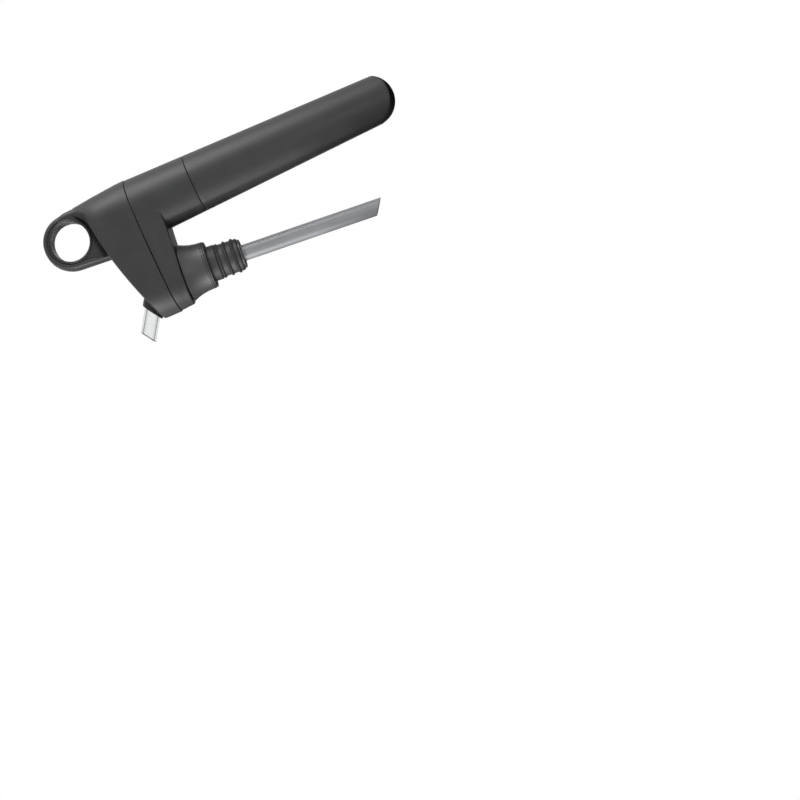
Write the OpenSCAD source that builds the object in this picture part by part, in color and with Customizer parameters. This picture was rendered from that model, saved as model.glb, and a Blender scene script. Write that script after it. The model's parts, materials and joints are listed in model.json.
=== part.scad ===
// Pour dispenser: a stopper with a rubber plug, a head with a clear spout and
// a carrying ring, and a screw-off handle cup that holds the gas capsule.
// The origin is the centre of the stopper's seat, +Z runs up the stopper, +X points to the handle.

/* [Stopper] */
// Radius of the stopper at its waist
waist_r = 12.7; // [12:0.1:13.5]
// Radius of the stopper at its top edge
stopper_top_r = 15.5; // [14.8:0.1:16]
// Height of the stopper above its seat
stopper_h = 13.8; // [13.4:0.1:14]
// Radius of the plug's land and fins
plug_r = 9.4; // [9.2:0.1:9.6]
// Depth of the plug below the seat
plug_depth = 18; // [15:0.5:22]

/* [Pour tube] */
// Outer radius of the pour tube
tube_r = 4.3; // [4.2:0.05:4.35]
// Depth of the tube below the seat
tube_depth = 96; // [70:1:110]

/* [Head] */
// Height of the head's underside above the stopper's seat
head_floor = 14.4; // [14.2:0.1:14.8]
// Half width of the head at the nose
nose_r = 15.7; // [15.2:0.1:16]
// Wall thickness of the shells
wall = 2.2; // [1.8:0.1:2.4]
// Radius of the hole in the carrying ring
ring_hole_r = 10.4; // [9.5:0.1:10.8]
// Outer radius of the carrying ring
ring_r = 15.1; // [15:0.1:15.6]
// Thickness of the carrying ring
ring_t = 13; // [11:0.5:14]

/* [Spout] */
// Angle of the spout above the horizontal
spout_tilt = 28.2; // [26:0.1:30]
// Outer radius of the clear spout
spout_r = 4.35; // [4:0.05:4.5]
// Inner radius of the clear spout
spout_bore = 3.4; // [3:0.05:3.5]

/* [Handle] */
// Lean of the handle away from the stopper
lean = 5.75; // [5.5:0.05:6]
// Radius of the handle where the cup begins
handle_r = 16.3; // [16.1:0.05:16.5]
// Radius of the gas capsule
capsule_r = 11; // [10.6:0.1:11]
// Length of the cup, from its seam to its rounded tip
cup_len = 115.2; // [112:0.2:118]

/* [Travel] */
// How far the gas button goes in
button_travel = 2; // [1:0.1:2]
// How far the cup drops for each turn
thread_pitch = 2; // [1.5:0.1:2.5]

/* [Hidden] */

$fn = 72;
eps = 0.01;
shell_grey = [0.24, 0.24, 0.245];
dark_grey = [0.13, 0.13, 0.135];
rubber_black = [0.09, 0.09, 0.09];
steel = [0.72, 0.73, 0.75];
brass = [0.80, 0.65, 0.35];
tube_grey = [0.55, 0.56, 0.58];

// Handle: the cone's axis meets the cup seam at cone_at, the capsule's axis at bore_at
cone_at = [42.45, 0, -5.7];
bore_shift = 0.7;
seam_gap = 0.2;                       // half of the groove between cup and housing
cone_taper = 0.0298;                  // loss of radius for each millimetre down the handle
inner_r = 24;                         // radius of the bulged face that looks at the stopper
inner_x = 27.6;                       // that face's foremost point at the cup seam
inner_lean = 7.27;
tip_r = 12.9;

// Head: nose centre, handle centre at the parting line
nose_x = -2.9;
grip_x = 39.2;
grip_r = 17.2;
side_r = 16;
ring_at = [34.55, 0, 65.75];
spout_root = 29.7;                    // height where the spout's axis crosses the tube's axis
elbow_r = spout_r + 0.85;
elbow_len = 10.6;
socket_at = 7.6;                      // distance from the elbow to the spout's inner end

// Button: its centre on the outer face of the cover, and the lean of that face
button_at = [55, 0, 41];
button_lean = 8.4;

// Parting line between cover and housing, a shallow arch in side view
function seam_z(x) = 24.39 + 0.1173 * x - 0.000571 * x * x;
// Crown line of the cover in side view
function crown_z(x) = 41.8 + 0.42 * x - 0.0025 * x * x;
// Drop of the cover's top away from its centre plane: a low arch, then a rounded shoulder
function shoulder(y) = 0.0104 * y * y + (y > 12 ? 4 - sqrt(max(0, 16 - pow(y - 12, 2))) : 0);

// ---- placing frames ----
module at_cone() {
    translate(cone_at) rotate([0, -lean, 0]) children();
}

module at_bore() {
    at_cone() translate([bore_shift, 0, 0]) children();
}

module at_spout() {
    translate([0, 0, spout_root]) rotate([0, spout_tilt - 90, 0]) children();
}

module at_button() {
    translate(button_at) rotate([0, 90 - button_lean, 0]) children();
}

// Solid drawn from its side view, with half width w
module side_slab(w) {
    rotate([90, 0, 0]) linear_extrude(height = 2 * w, center = true) children();
}

// Everything below (or above) the parting line, as a side view
module seam_side(below) {
    xs = [for (i = [0:14]) -24 + i * 6.2];
    far = below ? -40 : 120;
    polygon(concat([for (x = xs) [x, seam_z(x)]], [[xs[14], far], [xs[0], far]]));
}

// Flat ring or disc
module washer(r_out, r_in, z0, z1) {
    translate([0, 0, z0]) difference() {
        cylinder(r = r_out, h = z1 - z0);
        translate([0, 0, -1]) cylinder(r = r_in, h = z1 - z0 + 2);
    }
}

module o_ring(r_mid, r_cord, z) {
    translate([0, 0, z]) rotate_extrude() translate([r_mid, 0]) circle(r = r_cord, $fn = 24);
}

// Bent pipe in the centre plane: corners are [x, z], each rounded by a curve that starts and
// ends at distance bend from it; the two skins are rings carried along that path
pipe_sides = 12;
function curve(a, b, c, t) = (1 - t) * (1 - t) * a + 2 * t * (1 - t) * b + t * t * c;
function aim(a, b) = (b - a) / norm(b - a);
function soften(p, bend) = concat([p[0]],
    [for (i = [1:len(p) - 2]) for (t = [0:0.2:1])
        curve(p[i] + bend * aim(p[i], p[i - 1]), p[i], p[i] + bend * aim(p[i], p[i + 1]), t)],
    [p[len(p) - 1]]);

module pipe(corners, bend, r_out, r_in) {
    path = soften(corners, bend);
    n = len(path);
    m = pipe_sides;
    dirs = [for (i = [0:n - 1]) aim(path[max(i - 1, 0)], path[min(i + 1, n - 1)])];
    pts = [for (r = [r_out, r_in]) for (i = [0:n - 1]) for (k = [0:m - 1])
        let (a = 360 * k / m)
        [path[i][0] - r * cos(a) * dirs[i][1], r * sin(a), path[i][1] + r * cos(a) * dirs[i][0]]];
    outside = [for (i = [0:n - 2]) for (k = [0:m - 1])
        let (a = i * m + k, b = i * m + (k + 1) % m) [a, b, b + m, a + m]];
    inside = [for (i = [0:n - 2]) for (k = [0:m - 1])
        let (a = (n + i) * m + k, b = (n + i) * m + (k + 1) % m) [a, a + m, b + m, b]];
    foot = [for (k = [0:m - 1]) let (b = (k + 1) % m) [k, n * m + k, n * m + b, b]];
    head = [for (k = [0:m - 1]) let (a = (n - 1) * m + k, b = (n - 1) * m + (k + 1) % m)
        [a, b, b + n * m, a + n * m]];
    polyhedron(points = pts, faces = concat(outside, inside, foot, head));
}

// Coil spring as one unbroken tube: rings of the wire's outline carried along a helix
coil_sides = 6;
coil_steps = 12;
function coil_point(r, h, turns, wire, i, k) =
    let (a = 360 * turns * i / (turns * coil_steps),
         b = 360 * k / coil_sides,
         z = wire + (h - 2 * wire) * i / (turns * coil_steps))
    [(r + wire * cos(b)) * cos(a), (r + wire * cos(b)) * sin(a), z + wire * sin(b)];

module coil(r, h, turns, wire) {
    n = turns * coil_steps;
    s = coil_sides;
    pts = [for (i = [0:n]) for (k = [0:s - 1]) coil_point(r, h, turns, wire, i, k)];
    walls = [for (i = [0:n - 1]) for (k = [0:s - 1]) for (half = [0, 1])
        let (a = i * s + k, b = i * s + (k + 1) % s, c = a + s, d = b + s)
        half == 0 ? [a, b, c] : [b, d, c]];
    ends = concat([for (k = [1:s - 2]) [0, k + 1, k]],
                  [for (k = [1:s - 2]) [n * s, n * s + k, n * s + k + 1]]);
    polyhedron(points = pts, faces = concat(walls, ends));
}

button_coil_h = 4.25;
button_coil_turns = 3;
button_coil_wire = 0.3;
regulator_coil_h = 6.6;
regulator_coil_turns = 4;
regulator_coil_wire = 0.45;
echo(button_coil_gap = (button_coil_h - 2 * button_coil_wire) / button_coil_turns - 2 * button_coil_wire);
echo(regulator_coil_gap =
     (regulator_coil_h - 2 * regulator_coil_wire) / regulator_coil_turns - 2 * regulator_coil_wire);

// ---- stopper ----
cavity_r = 10;
cavity_floor = 6;
core_r = 6.5;
core_bore = 5;

// Hourglass side of the stopper: an arc from the waist to the top edge
flare_h = stopper_h - 2;
flare_w = stopper_top_r - waist_r;
flare_r = (flare_h * flare_h + flare_w * flare_w) / (2 * flare_w);
function flare(z) = waist_r + flare_r - sqrt(flare_r * flare_r - z * z);

module stopper_body() {
    color(shell_grey) difference() {
        union() {
            rotate_extrude() polygon(concat(
                [[0, 1], [waist_r, 1], [waist_r, 1.9], [waist_r - 0.15, 2]],
                [for (i = [0:10]) [flare(flare_h * i / 10), 2 + flare_h * i / 10]],
                [[0, stopper_h]]));
            translate([0, 0, -plug_depth + 1]) cylinder(r = core_r, h = plug_depth);
            translate([0, 0, -plug_depth]) cylinder(r = core_r + 1.2, h = 1.2);
        }
        translate([0, 0, cavity_floor]) cylinder(r = cavity_r, h = stopper_h);
        translate([0, 0, -plug_depth - 1]) cylinder(r = core_bore, h = plug_depth + stopper_h);
    }
}

// Rubber sleeve with a plain land at its top and three sealing fins below it
fin_depth = 0.8;
module stopper_plug() {
    z0 = -plug_depth + 1.2;
    valley = plug_r - fin_depth;
    color(rubber_black) rotate_extrude() polygon(concat(
        [[core_r, 1], [core_r, z0], [valley - 0.6, z0], [valley, z0 + 0.8]],
        [for (i = [0:2]) for (p = [[0, 1.9], [fin_depth, 2.8], [fin_depth, 3.3], [0, 4]])
            [valley + p[0], z0 + i * 4.2 + p[1]]],
        [[valley, -4.6], [plug_r, -4.1], [plug_r, 0], [plug_r - 0.4, 0], [plug_r - 0.4, 1]]));
}

module seat_washer() {
    color(rubber_black) washer(waist_r - 0.3, plug_r + 0.4, 0, 1);
}

module stopper_cap() {
    color(dark_grey) difference() {
        washer(cavity_r, core_bore, 11.6, stopper_h - 0.2);
        for (a = [0:90:270]) rotate([0, 0, a]) translate([7.6, 0, stopper_h - 1])
            cylinder(r = 0.9, h = 2);
    }
}

// Wiper that grips the tube and closes when it is drawn out
module tube_seal() {
    color(rubber_black) rotate_extrude() polygon([
        [cavity_r, cavity_floor], [cavity_r, 11.6], [core_bore + 0.6, 11.6],
        [tube_r + 0.05, 10.4], [tube_r + 0.05, 9.6], [6.4, 9], [6.4, 8.2],
        [tube_r + 0.05, 7.6], [tube_r + 0.05, 6.8], [core_bore + 0.3, cavity_floor]]);
}

// ---- head shells ----
// One slice of the cover's outer form, y from its centre plane, drawn in by skin
module cover_slice(y, skin) {
    ya = abs(y);
    left = nose_x - sqrt(max(0, nose_r * nose_r - ya * ya)) + skin;
    right = grip_x + sqrt(max(0, grip_r * grip_r - ya * ya)) - skin;
    drop = shoulder(ya) + skin;
    low = 16;
    lip = crown_z(left) - drop - 1.2;
    xs = [for (i = [0:8]) left + 0.4 + (right - 4.4 - left - 0.4) * i / 8];
    polygon(concat(
        [[left + 0.5, low], [left - 0.35, lip]],
        [for (x = xs) [x, crown_z(x) - drop]],
        [[right - 3.6, crown_z(right - 3.6) - drop - 1.2], [right - 2, 45.2],
            [right - 0.8, 37.3], [right + 0.2, 29.3], [right + 0.9, low]]));
}

// The head's outer form above its waist, drawn in by skin: one hull over thin slices
module cover_form(skin) {
    half = side_r - skin;
    hull() for (t = [-90:15:90]) translate([0, half * sin(t), 0])
        side_slab(eps) cover_slice(half * sin(t), skin);
}

ring_left = 19.4;
module ring_plate() {
    side_slab(ring_t / 2) union() {
        translate([ring_at[0], ring_at[2]]) circle(r = ring_r);
        polygon([[ring_left, 44], [ring_left, ring_at[2]], [ring_at[0], ring_at[2] + ring_r - 0.2],
            [48.2, ring_at[2] + 7], [50.6, 66.3], [51.3, 63.7], [52.2, 58.4], [53.1, 52.5], [53.2, 44]]);
    }
}

// Shallow recess in the ring's flat web, on both sides
module ring_recess() {
    for (side = [-1, 1]) translate([0, side * (ring_t / 2 - 0.2), 0]) side_slab(0.9) difference() {
        polygon([[ring_left + 2.9, 46], [ring_left + 2.9, 62], [24.5, 62], [30, 55.5],
            [42, 55], [45, 58], [45, 46]]);
        translate([ring_at[0], ring_at[2]]) circle(r = ring_hole_r + 1.9);
    }
}

// Saddle that carries the head's outer face up into the ring's side
module ring_saddle() {
    hull() {
        side_slab(ring_t / 2)
            polygon([[41, 52], [43.1, 55.7], [47.4, 60.4], [51.3, 63.2], [53.1, 53], [50, 50]]);
        intersection() {
            translate([grip_x, 0, 47]) cylinder(r1 = grip_r - 2.6, r2 = grip_r - 3, h = 2.5);
            translate([43, -20, 40]) cube([30, 40, 20]);
        }
    }
}

module collar_form(skin) {
    side_slab(7.4 + skin) polygon([[-19.2, 31.5], [-18.4, 34.2], [-16.7, 35.3 + skin],
        [-9.13, 41 + skin], [-4.3 + skin, 40 + skin], [-4.3 + skin, 33.5 - skin], [-12, 31.5 - skin]]);
}

module button_outline(grow) {
    for (s = [-1, 1]) translate([s * 2.6, 0]) circle(r = 4.6 + grow, $fn = 48);
    square([5.2, 2 * (4.6 + grow)], center = true);
}

module head_cover() {
    color(shell_grey) difference() {
        union() {
            intersection() {
                cover_form(0);
                side_slab(30) seam_side(false);
            }
            ring_plate();
            ring_saddle();
        }
        cover_form(wall);
        ring_recess();
        translate(ring_at) rotate([90, 0, 0]) cylinder(r = ring_hole_r, h = 60, center = true);
        intersection() {
            collar_form(0.05);
            at_spout() cylinder(r = 8.05, h = 60);
        }
        at_spout() cylinder(r = elbow_r + 0.05, h = elbow_len + 0.1);
        at_button() translate([0, 0, -8]) linear_extrude(height = 12) button_outline(0.3);
    }
}

// Lower shell around the nose and the neck, drawn in by skin
module housing_form(skin) {
    top = 30;
    floor_z = head_floor + (skin > 0 ? skin + 0.1 : 0);
    neck_x = 15;
    module foot(x, w) { translate([x, 0, floor_z]) cylinder(r = w - skin, h = eps, $fn = 48); }
    module brim(x, w) { translate([x, 0, top]) cylinder(r = w - skin, h = eps, $fn = 48); }
    hull() {
        foot(-3.4, 13.7);
        foot(neck_x, 11.9);
        brim(nose_x, nose_r + 0.1);
        brim(neck_x, 16.2);
    }
    hull() {
        foot(neck_x, 11.9);
        foot(38.4, 16.4);
        brim(neck_x, 16.2);
        brim(grip_x - 0.4, grip_r);
    }
}

// The handle's outer form between two heights of its own axis, h0 below the seam to h1 above
module handle_form(h0, h1) {
    intersection() {
        at_cone() translate([0, 0, -h0])
            cylinder(r1 = handle_r - cone_taper * h0, r2 = handle_r + cone_taper * h1, h = h0 + h1, $fn = 96);
        translate([inner_x + inner_r, 0, cone_at[2]]) rotate([0, -inner_lean, 0])
            translate([0, 0, -140]) cylinder(r = inner_r, h = 180, $fn = 120);
    }
}

root_bore = 13;
plate_z = 21;                         // underside of the frame plate, on top of its four posts
posts = [for (x = [12, 20.5]) for (s = [-1, 1]) [x, s * 6.3]];

module head_housing() {
    color(shell_grey) difference() {
        intersection() {
            union() {
                housing_form(0);
                difference() {
                    handle_form(0, 36);
                    at_cone() translate([-40, -40, -40]) cube([80, 80, 40 + seam_gap]);
                }
            }
            side_slab(30) seam_side(true);
        }
        difference() {
            housing_form(wall);
            for (p = posts) translate([p[0], p[1], head_floor]) cylinder(r = 2.2, h = plate_z - head_floor);
        }
        for (p = posts) translate([p[0], p[1], 17.4]) cylinder(r = 1.05, h = 8);
        at_bore() translate([0, 0, -2]) cylinder(r = root_bore, h = 60);
        translate([0, 0, head_floor - 2]) cylinder(r = tube_r + 0.3, h = 8);
    }
}

module spout_collar() {
    color(dark_grey) difference() {
        intersection() {
            collar_form(0);
            at_spout() cylinder(r = 8, h = 60);
        }
        at_spout() cylinder(r = spout_r + 0.05, h = 60);
        at_spout() cylinder(r = elbow_r + 0.05, h = elbow_len + 0.1);
    }
}

// ---- pour path ----
module pour_spout() {
    color([0.85, 0.9, 0.92, 0.45]) intersection() {
        at_spout() washer(spout_r, spout_bore, socket_at, 40);
        side_slab(10) polygon([[0, 20], [0, 60], [-12, 56.5], [-22.26, 46.33], [-29.52, 40.65],
            [-40, 32], [-12, 24]]);
    }
}

module channel_block() {
    color(dark_grey) difference() {
        union() {
            translate([0, 0, 19.2]) cylinder(r = 6.6, h = 13);
            at_spout() cylinder(r = elbow_r, h = elbow_len);
        }
        translate([-1, 0, 15]) cylinder(r = 2.3, h = spout_root - 15);
        translate([0, 0, 15]) cylinder(r = tube_r + 0.02, h = 8.2);
        at_spout() cylinder(r = 2.3, h = 40);
        at_spout() translate([0, 0, socket_at - 0.02]) cylinder(r = spout_r, h = 40);
        translate([2.7, 0, 23]) cylinder(r = 0.8, h = 3);
        translate([2.7, 0, 25.2]) rotate([0, 90, 0]) cylinder(r = 0.8, h = 12);
        translate([5.4, 0, 25.2]) rotate([0, 90, 0]) cylinder(r = 1.3, h = 12);
    }
}

module pour_tube() {
    color(tube_grey) difference() {
        union() {
            translate([0, 0, -tube_depth]) cylinder(r = tube_r, h = tube_depth + 23);
            translate([0, 0, head_floor + wall + 0.1]) cylinder(r = 6.6, h = 1.6);
        }
        translate([-1, 0, -tube_depth - 1]) cylinder(r = 2.3, h = tube_depth + 30);
        translate([2.7, 0, -tube_depth - 1]) cylinder(r = 0.8, h = tube_depth + 30);
        // slanted foot, so that the tube drains from its long side
        translate([0, 0, -tube_depth]) rotate([0, 30, 0]) translate([-20, -10, -17.8])
            cube([40, 20, 20]);
    }
}

module tube_o_ring() {
    color(rubber_black) o_ring(tube_r + 0.5, 0.45, 18.75);
}

// ---- frame inside the head ----
module chassis() {
    color(dark_grey) difference() {
        union() {
            translate([9, -8.5, plate_z]) cube([17, 17, 2]);
            // saddle that carries the valve
            translate([23.5, -7, plate_z + 1]) cube([2.5, 14, 20]);
        }
        for (p = posts) translate([p[0], p[1], plate_z - 1]) cylinder(r = 1.05, h = 4);
        for (p = posts) translate([p[0], p[1], plate_z + 2]) cylinder(r = 2, h = 1.5);
        translate([16.5, 0, 10]) cylinder(r = 3.5, h = 20);
        at_button() translate([0, 0, -40]) cylinder(r = 4.5, h = 40);
    }
}

module chassis_screws() {
    color(steel) for (p = posts) translate([p[0], p[1], 0]) {
        translate([0, 0, 17.6]) cylinder(r = 1.05, h = plate_z + 2 - 17.6);
        translate([0, 0, plate_z + 2]) difference() {
            cylinder(r = 1.9, h = 1.4);
            translate([0, 0, 0.6]) cylinder(r = 0.9, h = 2, $fn = 6);
        }
    }
}

// ---- capsule seat and regulator, along the capsule's axis ----
male_r = 12.4;

module capsule_boss() {
    color(tube_grey) at_bore() difference() {
        union() {
            translate([0, 0, 1.5]) cylinder(r = root_bore, h = 6);
            translate([0, 0, -8.6]) cylinder(r = male_r - 0.7, h = 11);
            for (i = [0:3]) translate([0, 0, -8 + i * thread_pitch]) {
                cylinder(r1 = male_r - 0.7, r2 = male_r, h = 0.5);
                translate([0, 0, 0.5]) cylinder(r = male_r, h = 0.4);
                translate([0, 0, 0.9]) cylinder(r1 = male_r, r2 = male_r - 0.7, h = 0.5);
            }
        }
        translate([0, 0, -10]) cylinder(r = capsule_r + 0.3, h = 30);
    }
}

module regulator_body() {
    color(brass) at_bore() difference() {
        union() {
            translate([0, 0, 7.5]) cylinder(r = root_bore, h = 2.5);
            translate([0, 0, 7.5]) cylinder(r = 9.5, h = 22.5);
        }
        translate([0, 0, 7]) cylinder(r = 4.6, h = 8.6);        // the capsule's neck
        translate([0, 0, 10]) cylinder(r = 1.25, h = 8.4);      // pin seat
        translate([0, 0, 18]) cylinder(r = 0.8, h = 5);
        translate([0, 0, 21]) cylinder(r = 6.5, h = 20);        // piston chamber
        translate([0, 0, 24]) rotate([0, -90, 0]) cylinder(r = 0.8, h = 12);
        translate([-7.5, 0, 24]) rotate([0, -90, 0]) cylinder(r = 1.3, h = 6);
    }
}

module regulator_cap() {
    color(brass) at_bore() difference() {
        union() {
            translate([0, 0, 30]) cylinder(r = 9.5, h = 4);
            translate([0, 0, 34]) cylinder(r = 3, h = 1.6, $fn = 6);
        }
        translate([0, 0, 29]) cylinder(r = 6.5, h = 3.2);
    }
}

module piercing_pin() {
    color(steel) at_bore() difference() {
        union() {
            translate([0, 0, 12.6]) cylinder(r = 1.25, h = 5.4);
            translate([0, 0, 11]) cylinder(r1 = 0.3, r2 = 1.25, h = 1.6);
        }
        translate([0, 0, 10]) cylinder(r = 0.2, h = 10, $fn = 16);
    }
}

module capsule_gasket() {
    color(rubber_black) at_bore() washer(4.6, 1.9, 14.1, 15.6);
}

module regulator_piston() {
    color(steel) at_bore() difference() {
        union() {
            translate([0, 0, 22]) cylinder(r = 2, h = 1.5);
            translate([0, 0, 23.5]) cylinder(r = 6.4, h = 2.6);
        }
        o_ring(6, 0.5, 24.8);
        translate([0, 0, 25.4]) difference() {
            cylinder(r = 5.4, h = 2);
            cylinder(r = 3.2, h = 2);
        }
    }
}

module piston_o_ring() {
    color(rubber_black) at_bore() o_ring(5.99, 0.48, 24.8);
}

module regulator_spring() {
    color(steel) at_bore() translate([0, 0, 25.45])
        coil(4.3, regulator_coil_h, regulator_coil_turns, regulator_coil_wire);
}

// ---- gas valve and button, along the button's axis ----
module valve_body() {
    color(brass) at_button() difference() {
        union() {
            translate([0, 0, -32]) cylinder(r = 4.5, h = 22);
            translate([0, 0, -14]) cylinder(r = 5.5, h = 3);
        }
        translate([0, 0, -24]) cylinder(r = 1.6, h = 20);
        translate([0, 0, -33]) cylinder(r = 0.8, h = 12);
        translate([0, 0, -33]) cylinder(r = 1.3, h = 3);
        translate([0, 0, -12.6]) cylinder(r = 2.6, h = 1);
        translate([0, 0, -20]) rotate([0, 90, 0]) cylinder(r = 1.3, h = 12);
    }
}

module valve_o_ring() {
    color(rubber_black) at_button() washer(2.6, 1.6, -12.6, -11.6);
}

module valve_stem() {
    color(steel) at_button() {
        translate([0, 0, -21]) cylinder(r = 1.52, h = 16.4);
    }
}

module gas_button() {
    color(dark_grey) at_button() difference() {
        intersection() {
            union() {
                translate([0, 0, -5.6]) linear_extrude(height = 5.6) button_outline(0);
                translate([0, 0, -4.4]) linear_extrude(height = 0.9) button_outline(1.1);
            }
            // the face follows the cover's round end, a little below it
            translate([0, 0, -grip_r]) rotate([0, 90, 0]) cylinder(r = grip_r - 0.25, h = 40, center = true);
        }
        translate([0, 0, 24]) sphere(r = 24.9);
        translate([0, 0, -6]) cylinder(r = 1.52, h = 1.4);
    }
}

module button_spring() {
    color(steel) at_button() translate([0, 0, -9.95])
        coil(3.2, button_coil_h, button_coil_turns, button_coil_wire);
}

// ---- gas pipes ----
// Point on the regulator's side at height h, d out from the capsule's axis, in the centre plane
function by_regulator(h, d) = [cone_at[0] + bore_shift - h * sin(lean) - d * cos(lean),
    cone_at[2] + h * cos(lean) - d * sin(lean)];
// Point by the valve, s in from the button's face and d below the valve's axis
function by_valve(s, d) = [button_at[0] - s * cos(button_lean) + d * sin(button_lean),
    button_at[2] - s * sin(button_lean) - d * cos(button_lean)];

module regulator_tube() {
    low = by_regulator(24, 12.5);
    high = by_valve(20, 6.5);
    color(tube_grey) pipe([by_regulator(24, 7.7), low, [low[0], high[1]], high, by_valve(20, 2.2)],
        2, 1.1, 0.6);
}

module gas_line() {
    color(tube_grey) pipe([[5.6, 25.2], [13, 25.2], by_valve(40, 0), by_valve(30.2, 0)], 4, 1.1, 0.6);
}

// ---- capsule and cup ----
module gas_capsule() {
    color(steel) at_bore() difference() {
        rotate_extrude() polygon(concat(
            [[0, 14], [4.2, 14], [4.3, 13.6], [4.3, 7.2], [4.8, 6.2]],
            [for (a = [60:-10:0]) [capsule_r - 6.5 + 6.5 * cos(a), -1.2 + 6.5 * sin(a)]],
            [for (a = [0:-9:-90]) [capsule_r * cos(a), -63 + capsule_r * sin(a)]]));
        translate([0, 0, 10.4]) cylinder(r = 1.7, h = 5);
    }
}

// The tip's rounded edge: a bulged disc around a cross axis
module tip_disc() {
    at_cone() translate([1.1, 0, tip_r - cup_len]) rotate([90, 0, 0])
        rotate_extrude() polygon(concat([[0, -17]],
            [for (y = [-17:2:17]) [tip_r - inner_r + sqrt(inner_r * inner_r - y * y), y]],
            [[0, 17]]));
}

module capsule_cup() {
    color(shell_grey) difference() {
        union() {
            difference() {
                handle_form(cup_len, 0);
                at_cone() translate([-50, -50, -cup_len - 40]) cube([100, 100, 40 + tip_r]);
                at_cone() translate([-50, -50, -seam_gap]) cube([100, 100, 100]);
            }
            intersection() {
                handle_form(cup_len, 0);
                tip_disc();
            }
        }
        at_bore() {
            translate([0, 0, -9.4]) cylinder(r = 13.6, h = 30);
            translate([0, 0, -66]) cylinder(r = capsule_r + 0.4, h = 80);
            translate([0, 0, -74]) cylinder(r1 = 8.6, r2 = capsule_r + 0.4, h = 8 + eps);
            translate([0, 0, -84]) cylinder(r = 8.6, h = 10 + eps);
        }
    }
}

module cup_thread_ring() {
    color(tube_grey) at_bore() difference() {
        washer(13.6, male_r + 0.1, -9.4, -seam_gap - 0.4);
        for (i = [0:3]) translate([0, 0, -8.9 + i * thread_pitch])
            washer(male_r + 0.6, male_r - 1, 0, 0.5);
    }
}

module cup_pad() {
    color(rubber_black) at_bore() difference() {
        translate([0, 0, -84]) cylinder(r = 8.6, h = 13.2);
        translate([0, 0, -63]) sphere(r = capsule_r + 0.1);
        translate([0, 0, -85]) cylinder(r = 4, h = 8);
    }
}

stopper_body();
stopper_plug();
seat_washer();
stopper_cap();
tube_seal();
head_cover();
head_housing();
spout_collar();
pour_spout();
channel_block();
pour_tube();
tube_o_ring();
chassis();
chassis_screws();
capsule_boss();
regulator_body();
regulator_cap();
piercing_pin();
capsule_gasket();
valve_body();
valve_o_ring();
regulator_tube();
gas_line();
button_spring();
regulator_spring();
gas_button();
valve_stem();
regulator_piston();
piston_o_ring();
gas_capsule();
capsule_cup();
cup_thread_ring();
cup_pad();
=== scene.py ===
import json
import math

import bmesh
import bpy
import numpy as np
from mathutils import Matrix, Vector


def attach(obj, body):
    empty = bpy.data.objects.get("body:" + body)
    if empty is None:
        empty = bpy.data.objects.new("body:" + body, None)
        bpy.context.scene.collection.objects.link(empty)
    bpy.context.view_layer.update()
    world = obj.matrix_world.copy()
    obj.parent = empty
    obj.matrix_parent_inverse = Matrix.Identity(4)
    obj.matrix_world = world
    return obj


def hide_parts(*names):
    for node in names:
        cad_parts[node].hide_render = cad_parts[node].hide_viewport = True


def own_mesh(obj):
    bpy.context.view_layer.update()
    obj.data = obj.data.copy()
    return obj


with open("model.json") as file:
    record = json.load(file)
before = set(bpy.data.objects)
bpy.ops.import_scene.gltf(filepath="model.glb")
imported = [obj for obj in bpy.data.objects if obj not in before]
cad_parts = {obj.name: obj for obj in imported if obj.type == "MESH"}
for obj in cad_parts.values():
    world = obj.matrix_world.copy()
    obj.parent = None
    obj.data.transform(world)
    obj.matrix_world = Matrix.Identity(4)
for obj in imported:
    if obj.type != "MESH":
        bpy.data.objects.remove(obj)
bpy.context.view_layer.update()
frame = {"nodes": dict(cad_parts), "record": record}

mm = 0.001

# Millimetres and degrees. z is 0 at the seat under the stopper and x runs from the spout to the handle.
shape = {
    "seam": (24.39, 0.1173, 0.000571),  # height, rise and arch of the head's parting line
    "lean": 5.75,                 # handle's lean
    "coneAt": (42.45, -5.7),      # x and z where the handle's axis crosses the cup's seam
    "coneRadius": 16.295,
    "coneTaper": 0.0298,
    "innerRadius": 24.0,          # bulge of the face that looks at the stopper
    "innerX": 27.6,               # x of that face at the cup's seam
    "innerLean": 7.27,
    "sectionMiddle": 1.1,         # point that the rays of the handle's section start from
    "sectionSoft": (0.05, 0.1),   # how far its edges are softened, and over what difference in length
    "boreShift": 0.7,             # how far outside the handle's axis the capsule's bore lies
    "spoutRoot": 29.7,            # height where the spout's axis starts
    "spoutTilt": 28.2,
    "noseX": -2.9,                # centre of the head's round nose
    "ringAt": (34.55, 65.75),     # centre of the ring's hole
    "ringHole": 10.4,             # its radius
    "ringHalf": 6.5,              # half the ring's thickness
}

headArc, headSide = 40, 44        # points along each round end and each side of the head's outline
headCount = 2 * (headArc + headSide)
handleCount = 180                 # points round the handle's section
turnedCount = 96                  # points round what is turned
holeCount = 72                    # points round the button's long hole


def seamZ(x):                     # parting line of the head, a shallow arch in side view
    height, rise, arch = shape["seam"]
    return height + rise * x - arch * x * x


def ramp(v, low, high):           # 0 below low, 1 above high, eased between
    t = np.clip((v - low) / (high - low), 0, 1)
    return t * t * (3 - 2 * t)


def eased(v, gain, low, high):    # a gain that comes in between low and high
    return gain * ramp(v, low, high)


def around(count):                # equal angles once round, in radians
    return np.arange(count) * 2 * np.pi / count


def weld(mesh, gap=2e-6):         # closes seams and poles, and turns every face outwards
    bm = bmesh.new()
    bm.from_mesh(mesh)
    bmesh.ops.remove_doubles(bm, verts=bm.verts, dist=gap)
    bmesh.ops.dissolve_degenerate(bm, edges=bm.edges, dist=gap * 0.5)
    bmesh.ops.recalc_face_normals(bm, faces=bm.faces)
    bm.to_mesh(mesh)
    bm.free()


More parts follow.
